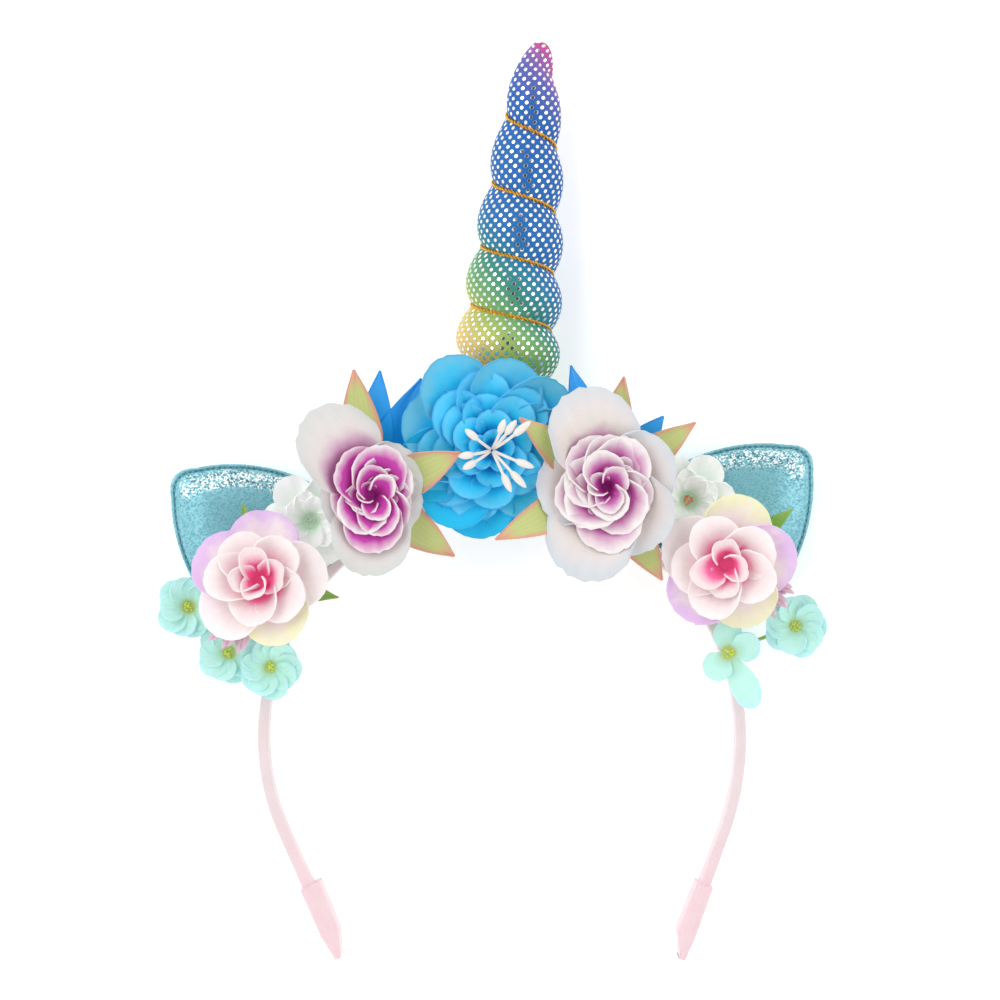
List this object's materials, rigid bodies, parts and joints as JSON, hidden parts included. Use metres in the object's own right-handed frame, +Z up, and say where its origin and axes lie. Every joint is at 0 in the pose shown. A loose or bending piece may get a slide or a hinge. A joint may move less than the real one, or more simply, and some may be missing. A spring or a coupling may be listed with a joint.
{
  "type": "unicorn headband",
  "caption": "Open headband wrapped in ribbon, with a stuffed spiral horn, padded foil ears and a garland of cloth flowers and leaves along its arch.",
  "frame": {"origin": "middle of the bounding box, on the surface that the headband lies on", "axes": "+X across the arch to the right ear as seen from the flowers, +Y from the band ends to the horn's tip, +Z up through the flowers"},
  "size_m": [0.1806, 0.249, 0.0465],
  "materials": {
    "ribbon": "satin ribbon",
    "horn_foil": "rainbow cloth with mirror foil dots",
    "gold_cord": "twisted metallic thread",
    "ear_foil": "crackled foil on cloth",
    "teal_petal": "sheer cloth",
    "azure_petal": "stiffened cloth",
    "white_stamen": "dipped thread",
    "mauve_petal": "dip-dyed cloth",
    "cream_petal": "dip-dyed cloth",
    "rose_leaf": "dyed cloth with pink edges",
    "royal_petal": "stiffened cloth",
    "green_stem": "wrapped wire",
    "green_leaf": "stiffened cloth",
    "blush_petal": "dip-dyed cloth",
    "bud_stamen": "dipped thread",
    "white_petal": "stiffened cloth",
    "mint_petal": "stiffened cloth"
  },
  "bodies": {
    "root": {"band": "ribbon", "band_end_left": "ribbon", "band_end_right": "ribbon", "horn": "horn_foil", "horn_cord": "gold_cord", "ear_left": "ear_foil", "ear_right": "ear_foil", "blue_flower_layer_1": "teal_petal", "blue_flower_layer_2": "azure_petal", "blue_flower_layer_3": "azure_petal", "blue_flower_layer_4": "azure_petal", "blue_flower_layer_5": "azure_petal", "blue_flower_stamens": "white_stamen", "rose_left_layer_1": "mauve_petal", "rose_left_layer_2": "mauve_petal", "rose_left_layer_3": "mauve_petal", "rose_left_layer_4": "mauve_petal", "rose_left_leaves": "rose_leaf", "rose_left_blue_petals": "royal_petal", "rose_left_stem": "green_stem", "rose_right_layer_1": "cream_petal", "rose_right_layer_2": "cream_petal", "rose_right_layer_3": "cream_petal", "rose_right_layer_4": "cream_petal", "rose_right_leaves": "rose_leaf", "rose_right_blue_petals": "royal_petal", "rose_right_stem": "green_stem", "pink_flower_left_layer_1": "blush_petal", "pink_flower_left_layer_2": "blush_petal", "pink_flower_left_layer_3": "blush_petal", "pink_flower_left_stamens": "bud_stamen", "pink_flower_left_leaves": "green_leaf", "pink_flower_left_stem": "green_stem", "pink_flower_right_layer_1": "blush_petal", "pink_flower_right_layer_2": "blush_petal", "pink_flower_right_layer_3": "blush_petal", "pink_flower_right_stamens": "bud_stamen", "pink_flower_right_leaves": "green_leaf", "pink_flower_right_stem": "green_stem", "white_blossom_left_layer_1": "white_petal", "white_blossom_left_layer_2": "white_petal", "white_blossom_right_layer_1": "white_petal", "white_blossom_right_layer_2": "white_petal", "mint_stem_left": "green_stem", "mint_floret_left_1": "mint_petal", "mint_floret_left_2": "mint_petal", "mint_floret_left_3": "mint_petal", "mint_stem_right": "green_stem", "mint_floret_right_1": "mint_petal", "mint_floret_right_2": "mint_petal"}
  },
  "joints": []
}
